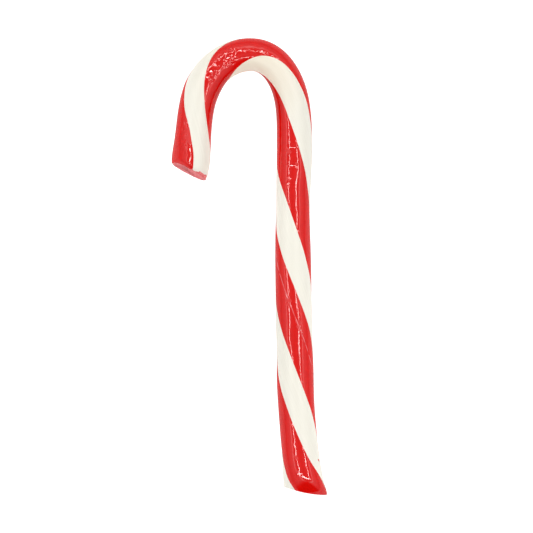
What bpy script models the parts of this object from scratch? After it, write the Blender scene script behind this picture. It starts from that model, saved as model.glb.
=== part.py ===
"""A hand-bent stick of boiled sugar: a red stick with two white bands twisted round it and a crook.

The stick lies on its back on the XY plane. +Y runs up the stem, the crook turns over towards -X, and +Z
is the side that shows. One sweep makes it: rings of points follow a bent centreline, and every ring is
split at the four seams between red and white, so that the seams run along edges of the mesh.

Distances are in metres and angles in degrees. "Along" is the distance on the centreline from the foot.
"Round" is the angle about the centreline: 0 at the crest, +90 at the right of the stem, which is the
outside of the crook, and -90 at the inside of the crook.
"""

import math

import bmesh
import bpy

# The centreline. A heading of 0 runs along +Y, and a positive one leans towards +X.
STICK_LENGTH = 0.1996
FOOT_HEADING = -5.8
BENDS = (
    # starts at, runs for, turns by
    (0.0099, 0.0432, 5.1),  # the kick at the foot dies away
    (0.0891, 0.0138, 3.4),  # a slight knee half-way up the stem
    (0.1053, 0.0228, -6.6),  # the stem leans back before the crook
    (0.1210, 0.0649, -156.0),  # the crook itself
    (0.1397, 0.0131, -15.2),  # its tighter shoulder, below the crown
)
PATH_STEP = 0.0005

# The stick's half width, with the places where the pulled sugar is thicker or thinner.
HALF_WIDTH = 0.00583
SWELLINGS = (
    # centred at, reaches, adds
    (0.002, 0.007, 0.00065),  # the foot spreads where it was sheared
    (0.014, 0.010, 0.00015),
    (0.038, 0.0075, 0.00018),
    (0.098, 0.011, -0.00036),  # a waist below the crook
    (0.148, 0.024, -0.00050),  # stretched thin over the crown
    (0.171, 0.005, 0.00020),
    (0.196, 0.0065, 0.00043),  # the tip of the crook spreads
)
HEIGHT_TO_WIDTH = 0.975
AXIS_HEIGHT = 0.0056  # less than the half height, so the underside is a narrow flat

# The twist. A seam passes the crest where its angle is 0, and one turn takes one pitch.
TWIST_PITCH = 0.100
SLACK_TWIST = (0.1475, 0.020, 21.0)  # the crook holds the twist back: centred at, reaches, degrees
SEAMS = (
    # angle at the foot, and where the seam wanders: (centred at, reaches, degrees)
    (62.0, ((-0.002, 0.008, 24.0), (0.045, 0.028, 12.0))),  # first white band starts
    (149.0, ((0.142, 0.008, 5.0), (0.175, 0.019, -24.0))),  # first white band ends
    (256.0, ((0.171, 0.011, -9.0), (0.089, 0.038, -12.0))),  # second white band starts
    (325.0, ((0.114, 0.011, -24.0), (0.199, 0.008, 15.0))),  # second white band ends
)
SEAM_GROOVE = 0.00008
FACES_PER_BAND = 8

# The foot: sheared while soft, so its top rolls down to a low blunt edge.
FOOT_CENTRE = 0.00085
FOOT_SKEW = -0.278  # the cut moves this far along for each metre sideways
FOOT_ROLL_LENGTH = 0.0075
FOOT_EDGE_HEIGHT = 0.0045
FOOT_SPUR = (95.0, 32.0, 0.0030, 0.0009)  # round, reaches round, reaches along, stands out

# The tip of the crook: snapped nearly square.
TIP_SKEW = -0.40
TIP_LEAN = -0.15  # the face leans back, so it shows from above
TIP_CHIP = (-90.0, 40.0, 0.0035, -0.0004)  # the inner corner is worn away
CUT_BLEND = 0.030  # the rings turn square to the stick within this distance

# Ring spacing along the stick, close together at both ends.
END_SPACINGS = (0.0003, 0.0006, 0.0009, 0.0011, 0.0012)
RING_COUNT = 138

# The end faces: (share of the way in to the middle, depth of the point below the rim's plane).
RIM_BEVEL = 0.0003
SKIN_DEPTH = 0.0012  # how deep the white of the bands goes
FACE_RINGS = ((0.60, 0.0001), (0.30, 0.00025))

RED_SUGAR = {"name": "red_sugar", "color": (0.62, 0.012, 0.010), "roughness": 0.12}
WHITE_SUGAR = {"name": "white_sugar", "color": (0.88, 0.85, 0.74), "roughness": 0.20}
CUT_SUGAR = {"name": "cut_sugar", "color": (0.70, 0.12, 0.12), "roughness": 0.55}
RED, WHITE, CUT = range(3)


def smooth(t):
    """0 before 0, 1 after 1, and an even ease between."""
    t = min(max(t, 0.0), 1.0)
    return t * t * (3.0 - 2.0 * t)


def bump(at, centre, reach):
    return math.exp(-(((at - centre) / reach) ** 2))


def heading(along):
    turned = sum(turn * smooth((along - start) / run) for start, run, turn in BENDS)
    return math.radians(FOOT_HEADING + turned)


def centreline():
    """Points of the centreline every PATH_STEP, from a little before the foot to a little past the tip."""
    reach = 0.010
    steps = round((STICK_LENGTH + 2 * reach) / PATH_STEP)
    x = -reach * math.sin(heading(0.0))
    y = -reach * math.cos(heading(0.0))
    points = [(x, y)]
    for index in range(steps):
        middle = heading(-reach + (index + 0.5) * PATH_STEP)
        x += PATH_STEP * math.sin(middle)
        y += PATH_STEP * math.cos(middle)
        points.append((x, y))
    return reach, points


def half_width(along):
    return HALF_WIDTH + sum(add * bump(along, at, reach) for at, reach, add in SWELLINGS)


def seam_angle(seam, along):
    start, wander = SEAMS[seam]
    angle = start - 360.0 * along / TWIST_PITCH
    centre, reach, held = SLACK_TWIST
    angle += held * bump(along, centre, reach)
    return angle + sum(degrees * bump(along, at, width) for at, width, degrees in wander)


def column_angle(column, along):
    """The angle round the stick of one lengthwise row of points, which keeps its place in its band."""
    band, step = divmod(column, FACES_PER_BAND)
    first = seam_angle(band, along)
    if band + 1 < len(SEAMS):
        last = seam_angle(band + 1, along)
    else:
        last = seam_angle(0, along) + 360.0
    return math.radians(first + (last - first) * step / FACES_PER_BAND)


def corner(shape, angle, gap):
    """How far a spur or a chip at one corner of an end moves the skin."""
    centre, round_reach, along_reach, amount = shape
    away = (math.degrees(angle) - centre + 180.0) % 360.0 - 180.0
    return amount * bump(away, 0.0, round_reach) * bump(gap, 0.0, along_reach)


def top_height(along, end_gap):
    """Height of the crest: full along the stick, rolling down to the sheared edge at the foot."""
    full = AXIS_HEIGHT + HEIGHT_TO_WIDTH * half_width(along)
    to_go = 1.0 - min(max(end_gap / FOOT_ROLL_LENGTH, 0.03), 1.0)
    return FOOT_EDGE_HEIGHT + (full - FOOT_EDGE_HEIGHT) * math.sqrt(1.0 - to_go * to_go)


def section_offset(column, along, end_gap):
    """(sideways, height) of one point on the stick's skin, from the centreline and from the table."""
    angle = column_angle(column, along)
    width = half_width(along)
    if column % FACES_PER_BAND == 0:
        width -= SEAM_GROOVE
    width += corner(FOOT_SPUR, angle, end_gap)
    width += corner(TIP_CHIP, angle, STICK_LENGTH - FOOT_CENTRE - end_gap)
    top = top_height(along, end_gap)
    bottom = AXIS_HEIGHT - HEIGHT_TO_WIDTH * width
    middle = (top + bottom) / 2
    height = middle + (top - middle) * math.cos(angle)
    return width * math.sin(angle), max(height, 0.0)


def ring_places():
    """Distances of the rings from the foot's cut, from 0 to the stick's full length."""
    near = [0.0]
    for spacing in END_SPACINGS:
        near.append(near[-1] + spacing)
    length = STICK_LENGTH - FOOT_CENTRE
    far = [length - place for place in reversed(near)]
    middle_count = RING_COUNT - len(near) - len(far)
    step = (far[0] - near[-1]) / (middle_count + 1)
    middle = [near[-1] + step * (index + 1) for index in range(middle_count)]
    return near + middle + far


class Stick:
    """Lays the sweep's points into a bmesh."""

    def __init__(self):
        self.mesh = bmesh.new()
        self.before, self.path = centreline()
        self.columns = FACES_PER_BAND * len(SEAMS)

    def on_path(self, along, sideways, height):
        place = (along + self.before) / PATH_STEP
        index = min(max(int(place), 0), len(self.path) - 2)
        part = place - index
        x0, y0 = self.path[index]
        x1, y1 = self.path[index + 1]
        turn = heading(along)
        x = x0 + (x1 - x0) * part + sideways * math.cos(turn)
        y = y0 + (y1 - y0) * part - sideways * math.sin(turn)
        return x, y, height

    def skin_place(self, column, place):
        """(along, sideways, height) of a ring's point, with the rings slanted towards each end's cut."""
        along = FOOT_CENTRE + place
        from_foot = 1.0 - smooth(place / CUT_BLEND)
        from_tip = smooth(1.0 - (STICK_LENGTH - along) / CUT_BLEND)
        shift = 0.0
        for _ in range(4):
            sideways, height = section_offset(column, along + shift, place)
            shift = from_foot * FOOT_SKEW * sideways
            shift += from_tip * (TIP_SKEW * sideways + TIP_LEAN * (height - AXIS_HEIGHT))
        return along + shift, sideways, height

    def ring(self, place):
        places = [self.skin_place(column, place) for column in range(self.columns)]
        return [self.mesh.verts.new(self.on_path(*point)) for point in places]

    def band_material(self, column):
        return WHITE if (column // FACES_PER_BAND) % 2 == 0 else RED

    def join(self, first, second, material=None):
        for column in range(self.columns):
            following = (column + 1) % self.columns
            corners = (first[column], first[following], second[following], second[column])
            face = self.mesh.faces.new(corners)
            face.smooth = material is None
            face.material_index = self.band_material(column) if material is None else material

    def end_face(self, rim, place, outward):
        """Closes one end: a worn edge, a skin in the bands' own colours, and the pale cut inside it."""
        points = [self.skin_place(column, place) for column in range(self.columns)]
        middle = [sum(values) / len(points) for values in zip(*points)]
        previous = rim

        def inner_ring(inset, share, depth):
            ring = []
            for point in points:
                reach = math.dist(point, middle)
                keep = share * max(reach - inset, 0.2 * reach) / reach
                along, sideways, height = (m + keep * (p - m) for p, m in zip(point, middle))
                ring.append(self.mesh.verts.new(self.on_path(along + outward * depth, sideways, height)))
            return ring

        layout = ((RIM_BEVEL, 1.0, RIM_BEVEL, None), (SKIN_DEPTH, 1.0, 0.8 * RIM_BEVEL, None))
        layout += tuple((SKIN_DEPTH, share, RIM_BEVEL - hollow, CUT) for share, hollow in FACE_RINGS)
        for inset, share, depth, material in layout:
            ring = inner_ring(inset, share, depth)
            pair = (previous, ring) if outward > 0 else (ring, previous)
            self.join(*pair, material)
            previous = ring
        along, sideways, height = middle
        hub = self.mesh.verts.new(self.on_path(along, sideways, height))
        for column in range(self.columns):
            corners = [previous[column], previous[(column + 1) % self.columns], hub]
            face = self.mesh.faces.new(corners if outward > 0 else reversed(corners))
            face.material_index = CUT


def material(look):
    made = bpy.data.materials.new(look["name"])
    made.use_nodes = True
    made.diffuse_color = (*look["color"], 1.0)
    surface = made.node_tree.nodes["Principled BSDF"]
    surface.inputs["Base Color"].default_value = (*look["color"], 1.0)
    surface.inputs["Roughness"].default_value = look["roughness"]
    surface.inputs["Metallic"].default_value = 0.0
    return made


def centre_over_origin(vertices):
    """Moves the stick so that the middle of its outline is over the origin."""
    middle_x = (min(v.co.x for v in vertices) + max(v.co.x for v in vertices)) / 2
    middle_y = (min(v.co.y for v in vertices) + max(v.co.y for v in vertices)) / 2
    for vertex in vertices:
        vertex.co.x -= middle_x
        vertex.co.y -= middle_y


def build_cane():
    stick = Stick()
    places = ring_places()
    rings = [stick.ring(place) for place in places]
    for first, second in zip(rings, rings[1:]):
        stick.join(first, second)
    stick.end_face(rings[0], places[0], -1)
    stick.end_face(rings[-1], places[-1], 1)
    centre_over_origin(stick.mesh.verts)
    bmesh.ops.recalc_face_normals(stick.mesh, faces=stick.mesh.faces)
    mesh = bpy.data.meshes.new("cane")
    stick.mesh.to_mesh(mesh)
    stick.mesh.free()
    for look in (RED_SUGAR, WHITE_SUGAR, CUT_SUGAR):
        mesh.materials.append(material(look))
    cane = bpy.data.objects.new("cane", mesh)
    bpy.context.scene.collection.objects.link(cane)
    return cane


for leftover in list(bpy.data.objects):
    bpy.data.objects.remove(leftover)
build_cane()
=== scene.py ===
"""The looks of a hand-bent candy cane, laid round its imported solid.

The cane lies on its back: +Y runs up the stem, the crook turns over towards -X, and +Z is the side that
shows. "Along" is the distance on the centreline from the foot, in metres. "Round" is the angle about the
centreline in degrees: 0 at the crest, +90 at the outside of the crook, and -90 at its inside.
"""

import math

import bpy
import numpy as np
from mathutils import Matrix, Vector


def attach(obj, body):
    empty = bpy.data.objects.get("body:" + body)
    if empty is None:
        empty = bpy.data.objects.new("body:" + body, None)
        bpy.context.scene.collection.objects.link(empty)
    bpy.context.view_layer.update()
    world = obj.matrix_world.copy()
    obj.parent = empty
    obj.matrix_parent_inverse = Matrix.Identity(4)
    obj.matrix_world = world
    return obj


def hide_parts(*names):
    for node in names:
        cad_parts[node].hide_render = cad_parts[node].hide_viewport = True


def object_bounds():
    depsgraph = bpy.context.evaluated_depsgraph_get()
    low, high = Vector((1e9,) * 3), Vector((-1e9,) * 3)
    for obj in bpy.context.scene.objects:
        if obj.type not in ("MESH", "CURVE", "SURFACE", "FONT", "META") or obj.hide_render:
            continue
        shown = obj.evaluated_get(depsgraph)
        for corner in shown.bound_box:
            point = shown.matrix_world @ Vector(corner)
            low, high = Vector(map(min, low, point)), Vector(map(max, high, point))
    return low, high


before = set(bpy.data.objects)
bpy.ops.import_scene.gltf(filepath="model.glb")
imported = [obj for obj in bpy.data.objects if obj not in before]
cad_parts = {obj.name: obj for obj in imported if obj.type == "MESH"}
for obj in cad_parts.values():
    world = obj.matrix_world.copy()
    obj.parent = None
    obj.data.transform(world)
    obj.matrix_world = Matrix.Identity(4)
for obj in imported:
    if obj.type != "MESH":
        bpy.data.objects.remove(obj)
cad_low, cad_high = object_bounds()


# ---------------------------------------------------------------------------------------------
# The stick. One rope of boiled sugar, pulled and twisted warm, rolled round on a cold table and
# bent over by hand into a crook. It is thinner where the bend stretched it and thick at both cuts.
# ---------------------------------------------------------------------------------------------

STICK_LENGTH = 0.1996
FOOT_HEADING = -5.8
BENDS = (
    # starts at, runs for, turns by
    (0.0099, 0.0432, 5.1),
    (0.0891, 0.0138, 3.4),
    (0.1053, 0.0228, -6.6),
    (0.1210, 0.0649, -156.0),
    (0.1397, 0.0131, -15.2),
)
PATH_STEP = 0.0005
PATH_MARGIN = 0.010
HALF_WIDTH = 0.00592
SWELLINGS = (
    # centred at, reaches, adds
    (0.002, 0.007, 0.00065),
    (0.014, 0.010, 0.00015),
    (0.038, 0.0075, 0.00018),
    (0.060, 0.0080, 0.00010),
    (0.094, 0.011, -0.00034),
    (0.148, 0.024, -0.00050),
    (0.171, 0.005, 0.00020),
    (0.196, 0.0065, 0.00043),
)
LEANS = (
    # the rope strays sideways: centred at, reaches, by
    (0.001, 0.004, 0.00015),
    (0.045, 0.008, 0.00024),
    (0.097, 0.008, 0.00017),
    (0.164, 0.012, -0.00020),
    (0.180, 0.008, -0.00010),
)
HEIGHT_TO_WIDTH = 0.975
AXIS_HEIGHT = 0.0056
ROW_ORIGIN = (-0.0181695, 0.0744113)  # the middle of the solid's box, seen from the centreline's start


def smooth(t):
    """0 before 0, 1 after 1, and an even ease between."""
    t = np.clip(t, 0.0, 1.0)
    return t * t * (3.0 - 2.0 * t)


def bump(at, centre, reach):
    """1 at the centre, about a third at the reach on either side, and fading to 0 beyond."""
    return np.exp(-(((at - centre) / reach) ** 2))


def heading(along):
    """Direction of the centreline: 0 runs along +Y, and a positive one leans towards +X."""
    return np.radians(FOOT_HEADING + sum(turn * smooth((along - start) / run) for start, run, turn in BENDS))


def half_width(along):
    return HALF_WIDTH + sum(add * bump(along, at, reach) for at, reach, add in SWELLINGS)


def leaning(along):
    return sum(amount * bump(along, at, reach) for at, reach, amount in LEANS)


def centreline():
    """(along, x, y) of points every PATH_STEP, from before the foot to past the tip."""
    steps = round((STICK_LENGTH + 2 * PATH_MARGIN) / PATH_STEP)
    along = -PATH_MARGIN + PATH_STEP * np.arange(steps + 1)
    middles = heading(along[:-1] + PATH_STEP / 2)
    x = np.concatenate([[0.0], np.cumsum(PATH_STEP * np.sin(middles))])
    y = np.concatenate([[0.0], np.cumsum(PATH_STEP * np.cos(middles))])
    start = heading(np.array(0.0))
    return along, x - PATH_MARGIN * np.sin(start), y - PATH_MARGIN * np.cos(start)


PATH = centreline()


def on_path(along, sideways, height):
    """World points, before centring, of places given along, across and above the table."""
    turn = heading(along)
    sideways = sideways + leaning(along)
    x = np.interp(along, PATH[0], PATH[1]) + sideways * np.cos(turn)
    y = np.interp(along, PATH[0], PATH[2]) - sideways * np.sin(turn)
    return np.stack([x, y, height], axis=-1)


# ---------------------------------------------------------------------------------------------
# The bands. Two ribbons of white pulled sugar were laid into the red rope before it was twisted,
# so four seams wind round the stick: white, red, white, red. Each seam is a fine closed groove.
# ---------------------------------------------------------------------------------------------

TWIST_PITCH = 0.100
SLACK_TWIST = (0.1475, 0.020, 21.0)  # over the bend: centred at, reaches, degrees held back
SEAMS = (
    # angle at the foot, and where the seam wanders: centred at, reaches, degrees
    (62.0, ((-0.002, 0.008, 30.0), (0.045, 0.028, 12.0), (0.200, 0.010, 30.0))),
    (149.0, ((0.142, 0.008, 5.0), (0.175, 0.019, -24.0))),
    (256.0, ((0.152, 0.004, -7.0), (0.171, 0.011, -9.0), (0.089, 0.038, -12.0))),
    (325.0, ((0.0005, 0.004, 12.0), (0.114, 0.011, -24.0), (0.185, 0.004, -4.5), (0.201, 0.006, 23.0))),
)
FOLD = (213.5, ())  # the first red band was folded over on itself here
# The lines that the mesh follows, and the columns of points from each one to the next.
LINES = (SEAMS[0], SEAMS[1], FOLD, SEAMS[2], SEAMS[3])
BAND_COLUMNS = (20, 36, 24, 18, 50)
WHITE_BANDS = (0, 3)
FOLD_LINE = 2
SEAM_DEPTH = 0.00004
SEAM_REACH = 0.00028
BAND_EDGE_DEPTH = 0.00005  # each band rolls down a little towards its seams
BAND_EDGE_REACH = 0.0011


def twist(start, wander, along):
    """Angle round the stick, in degrees, of a line that lies in the twisted sugar."""
    centre, reach, held = SLACK_TWIST
    angle = start - 360.0 * along / TWIST_PITCH + held * bump(along, centre, reach)
    return angle + sum(degrees * bump(along, at, width) for at, width, degrees in wander)


def band_layout():
    """For each lengthwise row of points: its band, and its share of the way across that band."""
    bands = np.concatenate([np.full(count, band) for band, count in enumerate(BAND_COLUMNS)])
    shares = np.concatenate([np.arange(count) / count for count in BAND_COLUMNS])
    return bands, shares


COLUMN_BAND, COLUMN_SHARE = band_layout()
COLUMNS = len(COLUMN_BAND)


def column_angle(along):
    """Degrees, for distances given as rings by columns. A column keeps its place in its band."""
    lines = [twist(start, wander, along) for start, wander in LINES]
    edges = np.stack(lines + [lines[0] + 360.0])
    columns = np.arange(COLUMNS)
    rings = np.arange(edges.shape[1])[:, None]
    first = edges[COLUMN_BAND, rings, columns]
    last = edges[COLUMN_BAND + 1, rings, columns]
    return first + (last - first) * COLUMN_SHARE


def apart(angle, centre):
    """Degrees from centre to angle, the short way round."""
    return (angle - centre + 180.0) % 360.0 - 180.0


def seam_distance(angle, along):
    """Metres over the skin to the nearest seam."""
    nearest = np.full(angle.shape, 180.0)
    for start, wander in SEAMS:
        nearest = np.minimum(nearest, np.abs(apart(angle, twist(start, wander, along))))
    return np.radians(nearest) * half_width(along)


def seam_relief(angle, along):
    gap = seam_distance(angle, along)
    return -SEAM_DEPTH * bump(gap, 0.0, SEAM_REACH) - BAND_EDGE_DEPTH * bump(gap, 0.0, BAND_EDGE_REACH)


# ---------------------------------------------------------------------------------------------
# The foot. It was sheared while the sugar was still soft, so its top rolls down slantwise to a
# blunt edge, and one corner is drawn out into a small spur.
# ---------------------------------------------------------------------------------------------

FOOT_CENTRE = 0.00065
FOOT_SKEW = -0.298  # how far along the cut moves for each metre across
FOOT_BOW = 0.0003  # the cut bows out in the middle and draws in at its corners
FOOT_ROLL_LENGTH = 0.0070
FOOT_ROLL_SLANT = 0.40  # the roll is this much longer on the inner side, and shorter on the outer
FOOT_ROLL_POWER = 2.0
FOOT_EDGE_HEIGHT = 0.0089
FOOT_SPUR = (95.0, 32.0, 0.0030, 0.0009)  # round, reaches round, reaches along, stands out


def corner(shape, angle, gap):
    """How far a spur or a chip at one corner of an end moves the skin."""
    centre, round_reach, along_reach, amount = shape
    return amount * bump(apart(angle, centre), 0.0, round_reach) * bump(gap, 0.0, along_reach)


def top_height(angle, along, end_gap):
    """Height of the crest: full along the stick, rolling down to the sheared edge at the foot."""
    full = AXIS_HEIGHT + HEIGHT_TO_WIDTH * half_width(along)
    roll_length = FOOT_ROLL_LENGTH * (1.0 - FOOT_ROLL_SLANT * np.sin(np.radians(angle)))
    rolled = np.clip(1.0 - end_gap / roll_length, 0.0, 1.0) ** FOOT_ROLL_POWER
    return full - (full - FOOT_EDGE_HEIGHT) * rolled


# ---------------------------------------------------------------------------------------------
# The tip of the crook. The cold stick was snapped there nearly square: the face leans back and
# the inner corner is worn away.
# ---------------------------------------------------------------------------------------------

TIP_SKEW = -0.40
TIP_LEAN = -0.15
TIP_CHIP = (-90.0, 40.0, 0.0035, -0.0003)  # round, reaches round, reaches along, stands out
TIP_ROUNDING = (0.0017, 0.00085)  # over the last of the stick, the top rolls down by this much
TIP_ROUNDING_AT_SIDES = 0.10
TIP_FLAKE = (0.0012, -5.0, -55.0, 0.00022)  # white skin flaked off: length, from round, full at, depth
TIP_FLAKE_ENDS = (150.0, 30.0)  # underneath: gone at this far round, and the fade before it
TIP_FLAKE_TEETH = ((0.18, 9.0, 0.0), (0.12, 23.0, 1.0))  # share of the length, waves a turn, phase
CUT_BLEND = 0.030  # how far up the stick the slant of each cut still shows in the rings
CUT_ROUNDS = 4  # the slant moves the width that it is worked out from, so it is found in rounds


def section_offset(angle, along, end_gap):
    """(sideways, height) of points on the stick's skin, from the centreline and from the table."""
    width = half_width(along)
    width = width + corner(FOOT_SPUR, angle, end_gap)
    width = width + corner(TIP_CHIP, angle, STICK_LENGTH - FOOT_CENTRE - end_gap)
    top = top_height(angle, along, end_gap)
    bottom = AXIS_HEIGHT - HEIGHT_TO_WIDTH * width
    middle = (top + bottom) / 2
    height = middle + (top - middle) * np.cos(np.radians(angle))
    return width * np.sin(np.radians(angle)), height


def skin(place):
    """(along, sideways, height, angle) grids, with the rings slanted towards each end's cut."""
    along = FOOT_CENTRE + place
    from_foot = 1.0 - smooth(place / CUT_BLEND)
    from_tip = smooth(1.0 - (STICK_LENGTH - along) / CUT_BLEND)
    shift = np.zeros((len(place), COLUMNS))
    for _ in range(CUT_ROUNDS):
        angle = column_angle(along + shift)
        sideways, height = section_offset(angle, along + shift, place)
        across = sideways / HALF_WIDTH
        bow = FOOT_BOW * (across * across - 0.5)
        shift = from_foot * (FOOT_SKEW * sideways + bow)
        shift = shift + from_tip * (TIP_SKEW * sideways + TIP_LEAN * (height - AXIS_HEIGHT))
    return along + shift, sideways, height, angle


# ---------------------------------------------------------------------------------------------
# Marks of the making. Fingers left a chain of pits over the crown, the inside of the bend
# wrinkled where it was squeezed, and a fold from the pulling runs down the red of the stem.
# ---------------------------------------------------------------------------------------------

MILLIMETRE = 0.001

PITS = (
    # a chain of small round pits over the crown: at along (mm), at round, depth (mm)
    (167.8, -9.0, 0.15),
    (166.2, -5.0, 0.20),
    (164.6, -9.0, 0.12),
    (162.3, -4.0, 0.12),
    (160.6, -7.0, 0.12),
    (158.7, 4.0, 0.36),
    (157.2, -9.0, 0.12),
    (156.2, 11.0, 0.14),
    (156.1, 21.0, 0.13),
    (151.6, 12.0, 0.10),
    (149.9, 11.0, 0.12),
    (146.6, 13.0, 0.12),
)
PIT_STEEPNESS_ALONG = 0.34  # depth over reach
PIT_STEEPNESS_ROUND = 0.40

# In reaches from its middle, where a pressed place is gone, and how long it takes to fade before that.
PRESS_GONE = 1.3
PRESS_FADE = 0.5
RUNG_ENDS = 0.12  # a wrinkle runs on past each end by this share of its run, and fades there

RUNGS = (
    # wrinkles across the stick whose wall leans evenly: round from and to, along from and to,
    # half a wall's length (mm), and the wall's lean towards +Y
    (-8.0, 7.0, 114.75, 114.55, 0.36, 11.8),
    (-21.0, 5.0, 113.55, 113.45, 0.42, 11.8),
    (-20.0, -5.0, 111.6, 112.2, 0.36, 11.9),
    (-9.0, 5.0, 109.0, 107.5, 0.36, 12.2),
    (-21.0, 4.0, 107.6, 107.5, 0.42, 12.3),
    (-19.0, -7.0, 103.4, 103.2, 0.42, 12.6),
    (-23.0, -13.0, 101.55, 101.35, 0.42, 12.7),
    # the hollow across the foot, where it starts to roll down
    (-4.0, 14.0, 6.30, 4.75, 0.54, -9.5),
)

FACETS = (
    # small flats pressed by fingers: at along, reaches along (mm), at round, reaches round, and
    # how far each one leans towards +X and +Y
    (168.1, 0.62, 0.5, 6.0, 4.0, 9.9),
    (165.8, 0.78, 2.5, 7.0, 3.0, 9.7),
    (166.7, 0.50, -21.0, 8.0, 15.4, -5.0),
    (163.5, 0.62, 9.0, 8.5, -1.0, 9.5),
    (161.4, 0.40, 15.0, 5.0, 2.0, 9.4),
    (161.0, 0.36, -9.0, 5.0, 15.1, 1.5),
    (160.1, 0.38, 1.5, 6.0, 0.0, 9.4),
    (157.4, 0.42, 5.0, 7.5, -2.0, 9.3),
    (158.5, 0.66, -5.5, 4.5, -12.3, 3.0),
    (158.7, 0.85, 4.5, 6.5, -2.0, 9.3),
    (158.8, 0.62, 19.5, 6.0, 0.0, 9.2),
    (156.4, 0.42, -1.0, 8.0, -6.0, 9.3),
    (156.7, 0.40, 27.0, 6.0, -6.0, 9.0),
    (154.2, 0.46, 14.0, 6.0, 2.0, 9.1),
    (153.1, 0.38, 7.0, 5.5, 0.0, 9.2),
    (147.8, 0.44, 13.5, 8.0, 1.0, 9.1),
    (6.9, 0.74, -10.0, 8.0, -9.0, -9.5),
)

MARKS = (
    # at along, at round, reaches along, reaches round, stands out (all but round in mm)
    (166.8, -20.0, 0.55, 4.5, -0.12),
    (152.3, 7.2, 4.20, 10.5, 0.132),
    # the wrinkles below the crook
    (109.6, -20.5, 1.00, 6.0, -0.030),
    (101.5, 10.0, 2.50, 8.0, -0.030),
    (105.5, 8.5, 2.50, 7.0, -0.032),
    (100.8, -15.5, 1.00, 6.0, -0.025),
    (110.3, -39.0, 0.35, 12.0, -0.07),
    (109.0, -38.0, 0.35, 12.0, -0.07),
    (107.8, -37.0, 0.35, 12.0, -0.07),
    (102.9, -38.0, 0.40, 10.0, -0.06),
    (101.6, -36.0, 0.40, 9.0, -0.06),
    # small dents above the foot
    (17.6, -17.0, 0.35, 6.0, -0.02),
    (16.4, -13.0, 0.40, 5.0, -0.05),
    # the low crest above the foot
    (9.5, 0.5, 2.20, 13.0, 0.055),
    # long shallow flats where the stick lay on the table
    (93.5, 12.5, 4.50, 9.0, -0.040),
    (85.0, 14.0, 3.50, 9.0, -0.035),
    (49.0, 14.5, 5.00, 9.0, -0.040),
    (63.0, 10.5, 4.50, 9.0, -0.038),
    (50.0, -9.5, 6.00, 9.0, -0.035),
    (69.0, -14.0, 5.00, 9.0, -0.035),
    (8.2, -10.5, 1.50, 7.0, -0.034),
    (10.4, 11.7, 1.50, 6.0, -0.022),
    (194.3, 4.5, 2.20, 7.0, -0.050),
)

FOLD_STRETCH = (0.040, 0.084)
FOLD_FADE = 0.006
FOLD_DEPTH = 0.00006
FOLD_REACH = 0.00022

OVALS = (
    # squeezed slantwise out of round: at along, reaches along (mm), by (mm)
    (7.5, 3.5, 0.16),
    (16.0, 6.0, 0.07),
    (25.5, 4.5, 0.13),
    (45.0, 6.5, 0.11),
    (55.5, 3.5, 0.08),
    (65.0, 4.5, -0.20),
    (75.5, 5.0, -0.18),
    (86.0, 4.5, -0.18),
    (93.5, 3.5, -0.10),
    (101.0, 5.0, -0.24),
    (119.0, 8.0, -0.24),
    (158.0, 11.0, 0.30),
    (194.5, 5.0, -0.62),
)
DIMPLE_SEED = 23
DIMPLE_SIZES = (0.7, 1.4)  # share of the reach
DIMPLE_DEPTHS = (-0.6, 1.3)  # share of the depth
RING_SLANT = 0.004  # a slanted ring reaches no further along than this
DIMPLES = (
    # fingered skin: from and to along (mm), from and to round, how many, reach and depth (mm)
    (157.0, 169.5, -24.0, -8.0, 46, 0.42, 0.095),
    (157.0, 168.5, 12.0, 34.0, 44, 0.42, 0.060),
    (145.0, 157.0, -14.0, 34.0, 50, 0.42, 0.040),
    (99.0, 116.0, -52.0, -6.0, 40, 0.42, 0.025),
    (183.0, 192.0, 0.0, 38.0, 50, 0.40, 0.080),
    (192.0, 198.0, 15.0, 38.0, 26, 0.40, 0.060),
)

LUMP_SEED = 11
LUMPS = (
    # wave length along (mm), waves round, height (mm)
    (31.0, 2, 0.050),
    (19.0, 3, 0.030),
    (12.5, 2, 0.022),
    (8.5, 4, 0.009),
    (5.3, 5, 0.004),
    (3.4, 7, 0.0015),
)


def marks_relief(angle, along):
    total = np.zeros(angle.shape)
    for at, around, reach, round_reach, amount in MARKS:
        mark = bump(along, at * MILLIMETRE, reach * MILLIMETRE) * bump(apart(angle, around), 0.0, round_reach)
        total += amount * MILLIMETRE * mark
    return total


def pits_relief(angle, along):
    total = np.zeros(angle.shape)
    for at, around, depth in PITS:
        round_reach = math.degrees(depth / PIT_STEEPNESS_ROUND * MILLIMETRE / HALF_WIDTH)
        pit = bump(along, at * MILLIMETRE, depth / PIT_STEEPNESS_ALONG * MILLIMETRE)
        total -= depth * MILLIMETRE * pit * bump(apart(angle, around), 0.0, round_reach)
    return total


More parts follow.
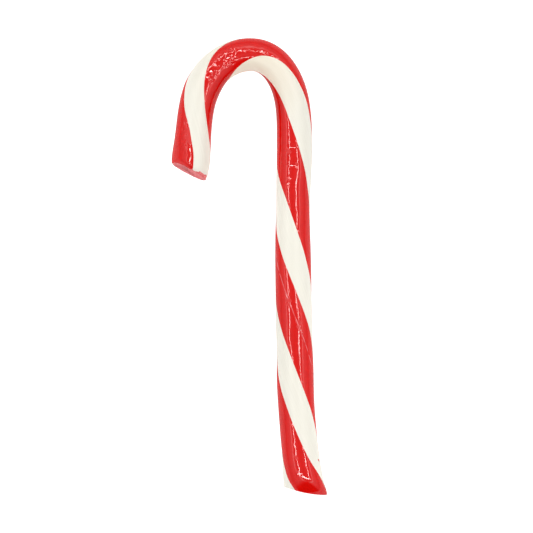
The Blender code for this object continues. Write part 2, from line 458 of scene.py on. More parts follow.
def press_rungs(points):
    """Gives the wall of each wrinkle one lean, and leaves its run across the stick as it is."""
    around = apart(ANGLE, 0.0)
    along = ALONG / MILLIMETRE
    for first, last, start, end, reach, lean in RUNGS:
        share = (around - first) / (last - first)
        gap = along - (start + (end - start) * share)
        near = (np.abs(gap) < PRESS_GONE * reach) & (share > 1.0 - PRESS_GONE) & (share < PRESS_GONE)
        beside = np.flatnonzero(near.any(axis=0))
        rings = np.flatnonzero(near.any(axis=1))
        rings = np.arange(rings[0] - 2, rings[-1] + 3)
        middle = np.array([[np.interp(0.0, gap[rings, column], points[rings, column, axis])
                            for axis in range(3)] for column in beside])
        middle = middle[np.argsort(middle[:, 0])]
        x, y, z = points[near].T
        level = np.interp(x, middle[:, 0], middle[:, 2])
        beyond = y - np.interp(x, middle[:, 0], middle[:, 1])
        wall = level - math.tan(math.radians(lean)) * beyond
        inside = smooth((PRESS_GONE - np.abs(gap[near]) / reach) / PRESS_FADE)
        inside = inside * smooth((share[near] + RUNG_ENDS) / RUNG_ENDS)
        inside = inside * smooth((1.0 + RUNG_ENDS - share[near]) / RUNG_ENDS)
        points[near, 2] += inside * (wall - z)


def press_facets(points):
    """Flattens each facet's place onto its own leaning plane."""
    for at, reach, around, round_reach, lean_x, lean_y in FACETS:
        gap = np.hypot((ALONG / MILLIMETRE - at) / reach, apart(ANGLE, around) / round_reach)
        middle = points[np.unravel_index(np.argmin(gap), gap.shape)]
        facing = np.array([math.tan(math.radians(lean_x)), math.tan(math.radians(lean_y)), 1.0])
        facing /= np.linalg.norm(facing)
        near = gap < PRESS_GONE
        stands_out = (points[near] - middle) @ facing
        share = smooth((PRESS_GONE - gap[near]) / PRESS_FADE)
        points[near] -= (share * stands_out)[:, None] * facing


def dimples_relief(angle, along):
    draw = np.random.RandomState(DIMPLE_SEED)
    total = np.zeros(angle.shape)
    for first, last, start, end, count, reach, depth in DIMPLES:
        for _ in range(count):
            at = draw.uniform(first, last) * MILLIMETRE
            around = draw.uniform(start, end)
            size = reach * draw.uniform(*DIMPLE_SIZES) * MILLIMETRE
            round_size = np.degrees(size / HALF_WIDTH)
            deep = depth * draw.uniform(*DIMPLE_DEPTHS) * MILLIMETRE
            rings = np.abs(along[:, 0] - at) < 5.0 * size + RING_SLANT
            mark = bump(along[rings], at, size) * bump(apart(angle[rings], around), 0.0, round_size)
            total[rings] -= deep * mark
    return total


def oval_relief(angle, along):
    squeezed = sum(amount * MILLIMETRE * bump(along, at * MILLIMETRE, reach * MILLIMETRE)
                   for at, reach, amount in OVALS)
    return squeezed * np.sin(2.0 * np.radians(angle))


def fold_relief(angle, along):
    gap = np.radians(apart(angle, twist(*FOLD, along))) * half_width(along)
    first, last = FOLD_STRETCH
    fades = smooth((along - first) / FOLD_FADE) * smooth((last - along) / FOLD_FADE)
    return -FOLD_DEPTH * fades * bump(gap, 0.0, FOLD_REACH)


def lumps_relief(angle, along):
    """The slow unevenness of a rope that was rolled by hand."""
    draw = np.random.RandomState(LUMP_SEED)
    total = np.zeros(angle.shape)
    for length, waves, height in LUMPS:
        phase = draw.uniform(0.0, 2.0 * math.pi, 2)
        lengthwise = np.sin(2.0 * math.pi * along / (length * MILLIMETRE) + phase[0])
        total += height * MILLIMETRE * lengthwise * np.sin(waves * np.radians(angle) + phase[1])
    return total


def outward_normals(points):
    """Unit normals of a grid of points whose columns close round."""
    lengthwise = np.gradient(points, axis=0)
    across = np.roll(points, -1, axis=1) - np.roll(points, 1, axis=1)
    normals = np.cross(across, lengthwise)
    normals /= np.linalg.norm(normals, axis=2, keepdims=True)
    outward = points - points.mean(axis=1, keepdims=True)
    return normals * np.sign((normals * outward).sum(axis=(1, 2)))[:, None, None]


# The rings lie closer together where there is more to show.
RING_SPACING = 0.00046
FINE_SPACING = 0.00020
FINE_STRETCHES = ((-0.01, 0.022), (0.097, 0.117), (0.145, 0.171), (0.190, 0.21))
SPACING_EASE = 0.003
SPACING_SAMPLES = 4001


def ring_places():
    """Distances of the rings from the foot's cut."""
    length = STICK_LENGTH - FOOT_CENTRE
    fine = np.linspace(0.0, length, SPACING_SAMPLES)
    closeness = np.zeros(fine.shape)
    for first, last in FINE_STRETCHES:
        along = fine + FOOT_CENTRE
        stretch = smooth((along - first) / SPACING_EASE) * smooth((last - along) / SPACING_EASE)
        closeness = np.maximum(closeness, stretch)
    density = 1.0 / (RING_SPACING + (FINE_SPACING - RING_SPACING) * closeness)
    count = np.concatenate([[0.0], np.cumsum((density[1:] + density[:-1]) / 2 * np.diff(fine))])
    return np.interp(np.linspace(0.0, count[-1], round(count[-1]) + 1), count, fine)


def flaked(angle, place):
    """Where the skin has flaked off at the tip."""
    length, starts, full, _ = TIP_FLAKE
    around = apart(angle, 0.0)
    ends, fade = TIP_FLAKE_ENDS
    share = smooth((starts - around) / (starts - full)) * smooth((around + ends) / fade)
    ragged = 1.0
    for tooth, waves, phase in TIP_FLAKE_TEETH:
        ragged = ragged + tooth * np.sin(np.radians(around) * waves + phase)
    return STICK_LENGTH - FOOT_CENTRE - place < length * share * ragged


def tip_relief(angle, place):
    reach, drop = TIP_ROUNDING
    near = np.clip(1.0 - (STICK_LENGTH - FOOT_CENTRE - place) / reach, 0.0, 1.0) ** 2
    on_top = np.clip(np.cos(np.radians(angle)), 0.0, 1.0)
    rolled = drop * near * (TIP_ROUNDING_AT_SIDES + (1.0 - TIP_ROUNDING_AT_SIDES) * on_top)
    return -rolled - TIP_FLAKE[3] * flaked(angle, place)


PLACES = ring_places()
ALONG, SIDEWAYS, HEIGHT, ANGLE = skin(PLACES[:, None])
SKIN = on_path(ALONG, SIDEWAYS, np.maximum(HEIGHT, 0.0))
RELIEF = seam_relief(ANGLE, ALONG) + marks_relief(ANGLE, ALONG) + pits_relief(ANGLE, ALONG)
RELIEF += dimples_relief(ANGLE, ALONG) + oval_relief(ANGLE, ALONG) + fold_relief(ANGLE, ALONG)
RELIEF += lumps_relief(ANGLE, ALONG) + tip_relief(ANGLE, PLACES[:, None])
SKIN += outward_normals(SKIN) * RELIEF[:, :, None]
press_rungs(SKIN)
press_facets(SKIN)
SKIN[:, :, 2] = np.maximum(SKIN[:, :, 2], 0.0)


# ---------------------------------------------------------------------------------------------
# The cut faces. Under a worn rim the bands' colours go half a millimetre deep, and inside them
# the core is paler sugar: frosted and splintered at the snapped tip, smeared smooth at the foot.
# ---------------------------------------------------------------------------------------------

RED, WHITE, SNAPPED = range(3)
RIM_WEAR = 0.00022
RIM_RINGS = ((0.45, 0.45), (1.0, 0.8))  # inwards and outwards, in shares of the wear
FACE_OUT = 0.85  # the face stands out this share of the wear past the rim
SKIN_DEPTH = 0.0005
SKIN_WAVE = 0.10
SKIN_ROUGHNESS = 0.3  # of the splinters in the core
SKIN_SHARES = (0.4, 0.7, 1.0)
CORE_SHARES = (0.93, 0.86, 0.78, 0.70, 0.61, 0.52, 0.42, 0.31, 0.20, 0.10)
SPLINTER_SEED = 5
TIP_SPLINTERS = 0.00016
FOOT_SPLINTERS = 0.00003


def end_rings(rim, outward, splinters):
    """[(ring of points, whether it is core)] from the worn rim inwards, and the middle point."""
    middle = rim.mean(axis=0)
    reach = np.linalg.norm(rim - middle, axis=1, keepdims=True)
    inwards = (middle - rim) / reach
    draw = np.random.RandomState(SPLINTER_SEED)
    angle = np.arange(COLUMNS) / COLUMNS * 2.0 * math.pi
    rings = []
    for inset, depth in RIM_RINGS:
        rings.append((rim + inwards * inset * RIM_WEAR + outward * depth * RIM_WEAR, False))
    wave = (1.0 + SKIN_WAVE * np.sin(3 * angle + 1.0))[:, None]
    for share in SKIN_SHARES:
        inset = RIM_WEAR + (SKIN_DEPTH - RIM_WEAR) * share * wave
        rough = splinters * SKIN_ROUGHNESS * draw.uniform(-1.0, 1.0, (COLUMNS, 1))
        rings.append((rim + inwards * inset + outward * (FACE_OUT * RIM_WEAR + rough), False))
    edge = rings[-1][0]
    for share in CORE_SHARES:
        rough = splinters * draw.uniform(-1.0, 1.0, (COLUMNS, 1))
        rings.append((middle + (edge - middle) * share + outward * rough, True))
    return rings, middle + outward * FACE_OUT * RIM_WEAR


def lay_stick():
    """The closed mesh of the whole stick, with its colours and its own coordinates."""
    ring_count = len(SKIN)
    foot_heading = heading(ALONG[0].mean())
    tip_heading = heading(ALONG[-1].mean())
    foot_out = -np.array([math.sin(foot_heading), math.cos(foot_heading), 0.0])
    tip_out = np.array([math.sin(tip_heading), math.cos(tip_heading), 0.0])
    points = [SKIN.reshape(-1, 3)]
    faces = []
    colours = []
    band_colour = np.where(np.isin(COLUMN_BAND, WHITE_BANDS), WHITE, RED)
    columns = np.arange(COLUMNS)
    following = (columns + 1) % COLUMNS

    def join(first, second, colour):
        faces.append(np.stack([first + columns, first + following, second + following, second + columns], 1))
        colours.append(colour)

    bare = flaked(ANGLE, PLACES[:, None])
    for ring in range(ring_count - 1):
        colour = np.where(bare[ring] & bare[ring][following], SNAPPED, band_colour)
        join(ring * COLUMNS, (ring + 1) * COLUMNS, colour)
    hubs = []
    start = ring_count * COLUMNS
    ends = ((0, foot_out, FOOT_SPLINTERS), (ring_count - 1, tip_out, TIP_SPLINTERS))
    for rim_at, outward, splinters in ends:
        rim_colour = np.where(bare[rim_at] & (rim_at > 0), SNAPPED, band_colour)
        rings, middle = end_rings(SKIN[rim_at], outward, splinters)
        previous = rim_at * COLUMNS
        for ring, core in rings:
            points.append(ring)
            pair = (start, previous) if rim_at == 0 else (previous, start)
            join(*pair, np.full(COLUMNS, SNAPPED) if core else rim_colour)
            previous = start
            start += COLUMNS
        points.append(middle[None, :])
        pair = (columns, following) if rim_at else (following, columns)
        hubs.append(np.stack([previous + pair[0], previous + pair[1], np.full(COLUMNS, start)], 1))
        start += 1
    points = np.concatenate(points)
    quads = np.concatenate(faces)
    triangles = np.concatenate(hubs)
    colours = np.concatenate(colours + [np.full(len(triangles), SNAPPED)])
    points[:, 0] += (cad_low.x + cad_high.x) / 2 - ROW_ORIGIN[0]
    points[:, 1] += (cad_low.y + cad_high.y) / 2 - ROW_ORIGIN[1]
    return points, quads, triangles, colours


def stick_object():
    points, quads, triangles, colours = lay_stick()
    mesh = bpy.data.meshes.new("sugar_stick")
    mesh.from_pydata(points.tolist(), [], quads.tolist() + triangles.tolist())
    mesh.polygons.foreach_set("material_index", colours.astype(np.int32))
    mesh.polygons.foreach_set("use_smooth", np.ones(len(mesh.polygons), dtype=bool))
    # The sugar's own coordinates: across the bands, and along the stick.
    unrolled = mesh.uv_layers.new(name="unrolled")
    share = np.concatenate([COLUMN_BAND + COLUMN_SHARE, [len(LINES)]])
    across = np.stack([share[:-1], share[1:], share[1:], share[:-1]], 1)
    lengthwise = ALONG.mean(axis=1)
    uv = np.zeros((len(mesh.loops), 2), np.float32)
    body = len(SKIN) - 1
    loops = uv[: body * COLUMNS * 4].reshape(body, COLUMNS, 4, 2)
    loops[:, :, :, 0] = across[None]
    loops[:, :, 0:2, 1] = lengthwise[:-1, None, None]
    loops[:, :, 2:4, 1] = lengthwise[1:, None, None]
    unrolled.data.foreach_set("uv", uv.ravel())
    made = bpy.data.objects.new("sugar_stick", mesh)
    bpy.context.scene.collection.objects.link(made)
    mesh.update()
    return made


# ---------------------------------------------------------------------------------------------
# The sugars. Red is dyed and clear, white is pulled full of air, and the snapped core is frosted.
# All are one fused mass, so only their colour, their gloss and their drawn grain tell them apart.
# ---------------------------------------------------------------------------------------------


def nodes_of(material):
    material.use_nodes = True
    tree = material.node_tree
    return tree, tree.nodes["Principled BSDF"]


def link(tree, source, target):
    tree.links.new(source, target)


def maths(tree, operation, first, second=None):
    node = tree.nodes.new("ShaderNodeMath")
    node.operation = operation
    for socket, value in zip(node.inputs, (first, second)):
        if isinstance(value, float):
            socket.default_value = value
        elif value is not None:
            link(tree, value, socket)
    return node.outputs["Value"]


def vector_maths(tree, operation, first, second):
    node = tree.nodes.new("ShaderNodeVectorMath")
    node.operation = operation
    for socket, value in zip(node.inputs, (first, second)):
        if isinstance(value, tuple):
            socket.default_value = value
        else:
            link(tree, value, socket)
    return node.outputs["Value"] if operation == "DISTANCE" else node.outputs["Vector"]


NUMBER = "NodeSocketFloat"
VECTOR = "NodeSocketVector"


def new_group(name, inputs, outputs):
    """A node group with named sockets, and the nodes at its two ends."""
    group = bpy.data.node_groups.new(name, "ShaderNodeTree")
    for socket, kind in inputs:
        group.interface.new_socket(name=socket, in_out="INPUT", socket_type=kind)
    for socket in outputs:
        group.interface.new_socket(name=socket, in_out="OUTPUT", socket_type=NUMBER)
    return group, group.nodes.new("NodeGroupInput"), group.nodes.new("NodeGroupOutput")


def place_group(tree, group, values):
    placed = tree.nodes.new("ShaderNodeGroup")
    placed.node_tree = group
    for name, value in values.items():
        placed.inputs[name].default_value = value
    return placed


# The drawn grain: fine lines that the pulling left along the bands, over a slight ripple.
GRAIN_INPUTS = (
    ("Lines Across", NUMBER),
    ("Lines Along", NUMBER),
    ("Ripple Scale", NUMBER),
    ("Line Height", NUMBER),
    ("Ripple Height", NUMBER),
)
LINE_DETAIL = 3.0
RIPPLE_DETAIL = 2.0
GRAIN_RANGE = (0.30, 0.70)  # what the lines and the ripple mostly keep to


def drawn_grain_group():
    group, given, result = new_group("drawn grain", GRAIN_INPUTS, ("Lines", "Ripple", "Height"))
    place = group.nodes.new("ShaderNodeTexCoord")
    stretch = group.nodes.new("ShaderNodeCombineXYZ")
    link(group, given.outputs["Lines Across"], stretch.inputs["X"])
    link(group, given.outputs["Lines Along"], stretch.inputs["Y"])
    lines = group.nodes.new("ShaderNodeTexNoise")
    lines.inputs["Scale"].default_value = 1.0
    lines.inputs["Detail"].default_value = LINE_DETAIL
    stretched = vector_maths(group, "MULTIPLY", place.outputs["UV"], stretch.outputs["Vector"])
    link(group, stretched, lines.inputs["Vector"])
    ripple = group.nodes.new("ShaderNodeTexNoise")
    ripple.inputs["Detail"].default_value = RIPPLE_DETAIL
    link(group, place.outputs["Object"], ripple.inputs["Vector"])
    link(group, given.outputs["Ripple Scale"], ripple.inputs["Scale"])
    line_height = maths(group, "MULTIPLY", lines.outputs["Fac"], given.outputs["Line Height"])
    ripple_height = maths(group, "MULTIPLY", ripple.outputs["Fac"], given.outputs["Ripple Height"])
    link(group, lines.outputs["Fac"], result.inputs["Lines"])
    link(group, ripple.outputs["Fac"], result.inputs["Ripple"])
    link(group, maths(group, "ADD", line_height, ripple_height), result.inputs["Height"])
    return group


DRAWN_GRAIN = drawn_grain_group()


# A round spot: 1 all over its middle, and fading to 0 at its rim. True Size turns a place into metres.
SPOT_INPUTS = (
    ("Place", VECTOR),
    ("Middle", VECTOR),
    ("True Size", VECTOR),
    ("Full Within", NUMBER),
    ("Gone Beyond", NUMBER),
)


def round_spot_group():
    group, given, result = new_group("round spot", SPOT_INPUTS, ("Mask",))
    place = vector_maths(group, "MULTIPLY", given.outputs["Place"], given.outputs["True Size"])
    middle = vector_maths(group, "MULTIPLY", given.outputs["Middle"], given.outputs["True Size"])
    fade = group.nodes.new("ShaderNodeMapRange")
    fade.interpolation_type = "SMOOTHSTEP"
    fade.inputs["To Min"].default_value = 1.0
    fade.inputs["To Max"].default_value = 0.0
    link(group, vector_maths(group, "DISTANCE", place, middle), fade.inputs["Value"])
    link(group, given.outputs["Full Within"], fade.inputs["From Min"])
    link(group, given.outputs["Gone Beyond"], fade.inputs["From Max"])
    link(group, fade.outputs["Result"], result.inputs["Mask"])
    return group


ROUND_SPOT = round_spot_group()
SPOT_FULL = 0.80  # shares of a spot's radius
SPOT_GONE = 1.15


def sugar_place(along, round_at):
    """Lines crossed on the way round to a spot, and the metres that its band spans there."""
    edges = [float(twist(start, wander, along)) for start, wander in LINES]
    edges.append(edges[0] + 360.0)
    for band, (first, last) in enumerate(zip(edges, edges[1:])):
        share = ((round_at - first) % 360.0) / (last - first)
        if share < 1.0:
            return band + share, math.radians(last - first) * float(half_width(along))
    raise ValueError("the spot lies on no band")


def spot_mask(tree, along, round_at, radius):
    across, band_width = sugar_place(along, round_at)
    spot = place_group(tree, ROUND_SPOT, {
        "Middle": (across, along, 0.0),
        "True Size": (band_width, 1.0, 0.0),
        "Full Within": SPOT_FULL * radius,
        "Gone Beyond": SPOT_GONE * radius,
    })
    place = tree.nodes.new("ShaderNodeTexCoord")
    link(tree, place.outputs["UV"], spot.inputs["Place"])
    return spot.outputs["Mask"]


# Painted shade on the inside of the bend: the white is painted darker and warmer there, and the red darker.
BEND_SHADE_SHARE = 0.75


def bend_shade_mask(tree, middle, full_within, gone_beyond):
    spot = place_group(tree, ROUND_SPOT, {
        "Middle": middle,
        "True Size": (1.0, 1.0, 1.0),
        "Full Within": full_within,
        "Gone Beyond": gone_beyond,
    })
    place = tree.nodes.new("ShaderNodeTexCoord")
    link(tree, place.outputs["Object"], spot.inputs["Place"])
    return maths(tree, "MULTIPLY", spot.outputs["Mask"], BEND_SHADE_SHARE)


def blend_colours(tree, mask, low, high, colours):
    """A colour that goes from the first to the second as the mask goes from low to high."""
    ramp = tree.nodes.new("ShaderNodeValToRGB")
    ramp.color_ramp.elements[0].position = low
    ramp.color_ramp.elements[1].position = high
    for element, colour in zip(ramp.color_ramp.elements, colours):
        element.color = (*colour, 1.0)
    link(tree, mask, ramp.inputs["Fac"])
    return ramp.outputs["Color"]


def range_of(tree, mask, low, high):
    """The mask, from 0 to 1, laid over the range from low to high."""
    spread = tree.nodes.new("ShaderNodeMapRange")
    spread.inputs["To Min"].default_value = low
    spread.inputs["To Max"].default_value = high
    link(tree, mask, spread.inputs["Value"])
    return spread.outputs["Result"]


def eased(tree, value, zero_at, one_at):
    """0 where the value is at zero_at, 1 where it is at one_at, and an even ease between."""
    spread = tree.nodes.new("ShaderNodeMapRange")
    spread.interpolation_type = "SMOOTHSTEP"
    rising = one_at > zero_at
    spread.inputs["From Min"].default_value = min(zero_at, one_at)
    spread.inputs["From Max"].default_value = max(zero_at, one_at)
    spread.inputs["To Min"].default_value = 0.0 if rising else 1.0
    spread.inputs["To Max"].default_value = 1.0 if rising else 0.0
    link(tree, value, spread.inputs["Value"])
    return spread.outputs["Result"]


def laid_over(tree, mask, under, over):
    """The colour over, a constant, where the mask is 1, and the colour under elsewhere."""
    mixed = tree.nodes.new("ShaderNodeMix")
    mixed.data_type = "RGBA"
    link(tree, mask, mixed.inputs["Factor"])
    link(tree, under, mixed.inputs[6])
    mixed.inputs[7].default_value = (*over, 1.0)
    return mixed.outputs[2]


def add_bump(tree, surface, height, distance):
    raised = tree.nodes.new("ShaderNodeBump")
    raised.inputs["Strength"].default_value = 1.0
    raised.inputs["Distance"].default_value = distance
    link(tree, height, raised.inputs["Height"])
    link(tree, raised.outputs["Normal"], surface.inputs["Normal"])


# Red sugar: clear, strongly dyed and glossy, but rubbed dull in places. Along the fold a pale dashed
# line is painted: a painted highlight, where the fold's walls catch the strip lights.
RED_TONES = ((0.62, 0.0022, 0.0008), (0.68, 0.0032, 0.0014))
# Painted shade: the red's darker colour on the inside of the bend, and the ball of space where it is painted.
RED_BEND_SHADE = (0.50, 0.0022, 0.0010)
RED_BEND_SHADE_BALL = ((-0.0010, 0.0530, 0.0056), 0.0106, 0.0142)  # middle, full within, gone beyond
RED_ROUGHNESS = (0.02, 0.06)
RED_IOR = 1.6
RED_GRAIN = {"Lines Across": 26.0, "Lines Along": 70.0, "Ripple Scale": 700.0,
             "Line Height": 0.45, "Ripple Height": 0.55}
RED_GRAIN_HEIGHT = 0.00002
# The painted highlight along the fold: where its line fades across the bands, its ends, and its dashes.
FOLD_WIDTH = (0.010, 0.034)  # in bands: where it starts to fade, and where it has faded
FOLD_ENDS = 0.004
FOLD_DASHES = (3.0, 420.0, 0.0)  # across and along
FOLD_DASH_EDGES = (0.34, 0.56)
FOLD_HIGHLIGHT = (0.78, 0.20, 0.21)
DULL_SPOTS = (
    # at along (mm), at round, radius (mm)
    (12.1, -14.5, 0.70),
    (63.6, -14.0, 0.80),
    (62.0, -13.5, 0.80),
    (56.4, 14.5, 0.80),
    (54.8, 15.0, 0.80),
    (112.3, -20.0, 0.85),
    (102.9, -17.5, 0.45),
    (108.2, 8.5, 0.60),
    (190.4, 6.0, 1.50),
    (187.9, 5.0, 1.60),
)
DULLNESS = 0.55


def fold_highlight_mask(tree):
    place = tree.nodes.new("ShaderNodeTexCoord")
    parts = tree.nodes.new("ShaderNodeSeparateXYZ")
    link(tree, place.outputs["UV"], parts.inputs["Vector"])
    away = maths(tree, "ABSOLUTE", maths(tree, "SUBTRACT", parts.outputs["X"], float(FOLD_LINE)))
    line = eased(tree, away, FOLD_WIDTH[1], FOLD_WIDTH[0])
    first, last = FOLD_STRETCH
    line = maths(tree, "MULTIPLY", line, eased(tree, parts.outputs["Y"], first, first + FOLD_ENDS))
    line = maths(tree, "MULTIPLY", line, eased(tree, parts.outputs["Y"], last, last - FOLD_ENDS))
    dashes = tree.nodes.new("ShaderNodeTexNoise")
    dashes.inputs["Scale"].default_value = 1.0
    link(tree, vector_maths(tree, "MULTIPLY", place.outputs["UV"], FOLD_DASHES), dashes.inputs["Vector"])
    return maths(tree, "MULTIPLY", line, eased(tree, dashes.outputs["Fac"], *FOLD_DASH_EDGES))


def red_sugar():
    material = bpy.data.materials.new("red_sugar")
    tree, surface = nodes_of(material)
    grain = place_group(tree, DRAWN_GRAIN, RED_GRAIN)
    red = blend_colours(tree, grain.outputs["Ripple"], *GRAIN_RANGE, RED_TONES)
    # Painted shade: the red is laid darker over the inside of the bend.
    red = laid_over(tree, bend_shade_mask(tree, *RED_BEND_SHADE_BALL), red, RED_BEND_SHADE)
    # Painted highlight: a pale dashed line laid along the fold.
    link(tree, laid_over(tree, fold_highlight_mask(tree), red, FOLD_HIGHLIGHT), surface.inputs["Base Color"])
    rough = range_of(tree, grain.outputs["Lines"], *RED_ROUGHNESS)
    for along, round_at, radius in DULL_SPOTS:
        dull = spot_mask(tree, along * MILLIMETRE, round_at, radius * MILLIMETRE)
        rough = maths(tree, "MAXIMUM", rough, maths(tree, "MULTIPLY", dull, DULLNESS))
    link(tree, rough, surface.inputs["Roughness"])
    surface.inputs["IOR"].default_value = RED_IOR
    add_bump(tree, surface, grain.outputs["Height"], RED_GRAIN_HEIGHT)
    return material


# White sugar: pulled full of air, so it is opaque and cream, with a softer gloss. A fleck of red
# sugar was rolled into it near the foot.
CREAM_TONES = ((0.78, 0.757, 0.673), (0.83, 0.81, 0.722))
# Painted shade: the cream's darker, warmer colour on the inside of the bend, and the ball where it is
# painted.
CREAM_BEND_SHADE = (0.80, 0.715, 0.575)
CREAM_BEND_SHADE_BALL = ((0.0008, 0.0620, 0.0090), 0.0040, 0.0220)
CREAM_ROUGHNESS = (0.28, 0.42)
CREAM_IOR = 1.5
CREAM_GRAIN = {"Lines Across": 34.0, "Lines Along": 40.0, "Ripple Scale": 500.0,
               "Line Height": 0.50, "Ripple Height": 0.30}
CREAM_GRAIN_HEIGHT = 0.00004
FLECK = (0.0116, 61.0, 0.00042)  # along, round, radius
FLECK_COLOUR = (0.62, 0.035, 0.025)


def white_sugar():
    material = bpy.data.materials.new("white_sugar")
    tree, surface = nodes_of(material)
    grain = place_group(tree, DRAWN_GRAIN, CREAM_GRAIN)
    cream = blend_colours(tree, grain.outputs["Lines"], *GRAIN_RANGE, CREAM_TONES)
    # Painted shade: the cream is laid darker and warmer over the inside of the bend.
    cream = laid_over(tree, bend_shade_mask(tree, *CREAM_BEND_SHADE_BALL), cream, CREAM_BEND_SHADE)
    link(tree, laid_over(tree, spot_mask(tree, *FLECK), cream, FLECK_COLOUR), surface.inputs["Base Color"])
    link(tree, range_of(tree, grain.outputs["Lines"], *CREAM_ROUGHNESS), surface.inputs["Roughness"])
    surface.inputs["IOR"].default_value = CREAM_IOR
    add_bump(tree, surface, grain.outputs["Height"], CREAM_GRAIN_HEIGHT)
    return material


# Snapped sugar: the pale pink core, frosted by the break.
PINK_TONES = ((0.72, 0.10, 0.105), (0.86, 0.24, 0.25))
PINK_IOR = 1.5
FROST_RANGE = (0.36, 0.68)
FROST_SCALE = 1600.0
FROST_DETAIL = 4.0
FROST_ROUGHNESS = (0.35, 0.65)
FROST_HEIGHT = 0.00012


def snapped_sugar():
    material = bpy.data.materials.new("snapped_sugar")
    tree, surface = nodes_of(material)
    place = tree.nodes.new("ShaderNodeTexCoord")
    frost = tree.nodes.new("ShaderNodeTexNoise")
    frost.inputs["Scale"].default_value = FROST_SCALE
    frost.inputs["Detail"].default_value = FROST_DETAIL
    link(tree, place.outputs["Object"], frost.inputs["Vector"])
    pink = blend_colours(tree, frost.outputs["Fac"], *FROST_RANGE, PINK_TONES)
    link(tree, pink, surface.inputs["Base Color"])
    link(tree, range_of(tree, frost.outputs["Fac"], *FROST_ROUGHNESS), surface.inputs["Roughness"])
    surface.inputs["IOR"].default_value = PINK_IOR
    add_bump(tree, surface, frost.outputs["Fac"], FROST_HEIGHT)
    return material


stick = stick_object()
for material in (red_sugar(), white_sugar(), snapped_sugar()):
    stick.data.materials.append(material)
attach(stick, "root")
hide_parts("cane")


# ---------------------------------------------------------------------------------------------
# The table: a plain sheet of matt white card, much larger than the cane. It is bright enough to
# look pure white, and it throws light up into the cane's sides.
# ---------------------------------------------------------------------------------------------

TABLE_SIDE = 4.0
TABLE_COLOUR = (0.52, 0.52, 0.52)
TABLE_ROUGHNESS = 0.9
TABLE_GLOW = 1.00  # towards the camera, so that the card is pure white
TABLE_FILL = 1.62  # towards matt surfaces, as a much larger bright card would light them


def table():
    half = TABLE_SIDE / 2
    mesh = bpy.data.meshes.new("table")
    corners = [(-half, -half, 0.0), (half, -half, 0.0), (half, half, 0.0), (-half, half, 0.0)]
    mesh.from_pydata(corners, [], [(0, 1, 2, 3)])
    material = bpy.data.materials.new("white_card")
    tree, surface = nodes_of(material)
    surface.inputs["Base Color"].default_value = (*TABLE_COLOUR, 1.0)
    surface.inputs["Roughness"].default_value = TABLE_ROUGHNESS
    surface.inputs["Specular IOR Level"].default_value = 0.0
    surface.inputs["Emission Color"].default_value = (1.0, 1.0, 1.0, 1.0)
    seen = tree.nodes.new("ShaderNodeLightPath")
    glow = maths(tree, "MULTIPLY", seen.outputs["Is Camera Ray"], TABLE_GLOW)
    fill = maths(tree, "MULTIPLY", seen.outputs["Is Diffuse Ray"], TABLE_FILL)
    link(tree, maths(tree, "ADD", glow, fill), surface.inputs["Emission Strength"])
    mesh.materials.append(material)
    made = bpy.data.objects.new("table", mesh)
    bpy.context.scene.collection.objects.link(made)
    return made


table()


# ---------------------------------------------------------------------------------------------
# The light: a white box with a rectangle of thin strip lights round the opening in its roof,
# through which the camera looks straight down.
# ---------------------------------------------------------------------------------------------

STRIP_HEIGHT = 0.40
STRIPS_CENTRE = 0.012
STRIP_SIDE = 0.200
STRIP_END = 0.225
STRIP_WIDTH = 0.018
STRIP_RADIANCE = 17.5
STRIP_COLOUR = (1.0, 0.99, 0.975)
ROOF = (
    # height of a direction (1 is straight up), brightness of the box there
    (0.00, 0.30),
    (0.105, 0.34),
    (0.174, 0.40),
    (0.309, 0.52),
    (0.50, 0.62),
    (0.61, 0.72),
    (0.655, 0.80),
    (0.685, 2.00),
    (0.715, 2.00),
    (0.75, 0.62),
    (0.79, 0.36),
    (0.85, 0.34),
    (0.88, 0.45),
    (0.92, 0.52),
    (0.955, 0.40),
    (0.98, 0.33),
    (1.00, 0.29),
)
FRONT_STARTS = 0.42  # how far forward a direction leans where the dim open front begins
FRONT_FULL = 0.75
FRONT_DIMS_TO = 0.05
FRONT_NARROWS = 0.35  # the box's sides hide its open front from directions that lean sideways


def strip_light(name, x, y, length_x, length_y):
    lamp = bpy.data.lights.new(name, "AREA")
    lamp.shape = "RECTANGLE"
    lamp.size = length_x
    lamp.size_y = length_y
    # An area lamp of this power has the radiance asked for over its whole face.
    lamp.energy = STRIP_RADIANCE * length_x * length_y * math.pi
    lamp.color = STRIP_COLOUR
    made = bpy.data.objects.new(name, lamp)
    made.location = (STRIPS_CENTRE + x, y, STRIP_HEIGHT)
    made.visible_camera = False
    bpy.context.scene.collection.objects.link(made)


for sign, side, end in ((-1, "left", "front"), (1, "right", "back")):
    strip_light(f"strip_{side}", sign * STRIP_SIDE, 0.0, STRIP_WIDTH, 2 * STRIP_END)
    strip_light(f"strip_{end}", 0.0, sign * STRIP_END, 2 * STRIP_SIDE, STRIP_WIDTH)


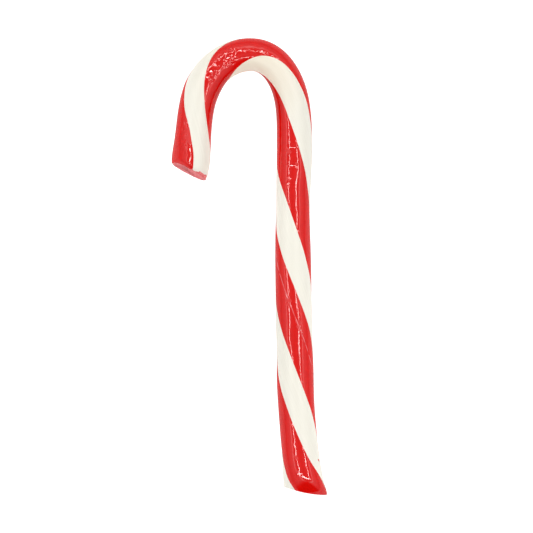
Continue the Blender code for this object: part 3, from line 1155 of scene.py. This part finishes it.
def light_box():
    """The box's white inside, as the sky. Seen by the camera itself, it is plain white."""
    world = bpy.data.worlds.new("light_box")
    world.use_nodes = True
    tree = world.node_tree
    sky = tree.nodes["Background"]
    place = tree.nodes.new("ShaderNodeTexCoord")
    parts = tree.nodes.new("ShaderNodeSeparateXYZ")
    link(tree, place.outputs["Generated"], parts.inputs["Vector"])
    ramp = tree.nodes.new("ShaderNodeValToRGB")
    elements = ramp.color_ramp.elements
    top = max(brightness for _, brightness in ROOF)
    for index, (height, brightness) in enumerate(ROOF):
        if index < 2:
            element = elements[index]
            element.position = height
        else:
            element = elements.new(height)
        element.color = (*(brightness / top,) * 3, 1.0)
    link(tree, parts.outputs["Z"], ramp.inputs["Fac"])
    front = tree.nodes.new("ShaderNodeMapRange")
    front.interpolation_type = "SMOOTHSTEP"
    front.inputs["From Min"].default_value = -FRONT_STARTS
    front.inputs["From Max"].default_value = -FRONT_FULL
    front.inputs["To Min"].default_value = top
    front.inputs["To Max"].default_value = top * FRONT_DIMS_TO
    sideways = maths(tree, "ABSOLUTE", parts.outputs["X"])
    front_side = maths(tree, "ADD", parts.outputs["Y"], maths(tree, "MULTIPLY", sideways, FRONT_NARROWS))
    link(tree, front_side, front.inputs["Value"])
    link(tree, ramp.outputs["Color"], sky.inputs["Color"])
    link(tree, front.outputs["Result"], sky.inputs["Strength"])
    plain = tree.nodes.new("ShaderNodeBackground")
    plain.inputs["Color"].default_value = (1.0, 1.0, 1.0, 1.0)
    seen = tree.nodes.new("ShaderNodeLightPath")
    chosen = tree.nodes.new("ShaderNodeMixShader")
    link(tree, seen.outputs["Is Camera Ray"], chosen.inputs["Fac"])
    link(tree, sky.outputs["Background"], chosen.inputs[1])
    link(tree, plain.outputs["Background"], chosen.inputs[2])
    link(tree, chosen.outputs["Shader"], tree.nodes["World Output"].inputs["Surface"])
    bpy.context.scene.world = world


light_box()


# ---------------------------------------------------------------------------------------------
# The camera: a long lens, straight above, with the cane a little left of its middle. It is set
# from the height of the stick's axis, where the cane is widest.
# ---------------------------------------------------------------------------------------------

CAMERA_HEIGHT = 1.2
VIEW_SIDE = 0.17494  # what the picture spans at the height of the stick's axis
CAMERA_X = 0.00571
CAMERA_Y = 0.00007
SENSOR_WIDTH = 36.0

lens = bpy.data.cameras.new("camera")
lens.sensor_width = SENSOR_WIDTH
lens.lens = SENSOR_WIDTH * (CAMERA_HEIGHT - AXIS_HEIGHT) / VIEW_SIDE
camera = bpy.data.objects.new("camera", lens)
camera.location = (CAMERA_X, CAMERA_Y, CAMERA_HEIGHT)
bpy.context.scene.collection.objects.link(camera)
bpy.context.scene.camera = camera
bpy.context.scene.view_settings.view_transform = "Standard"
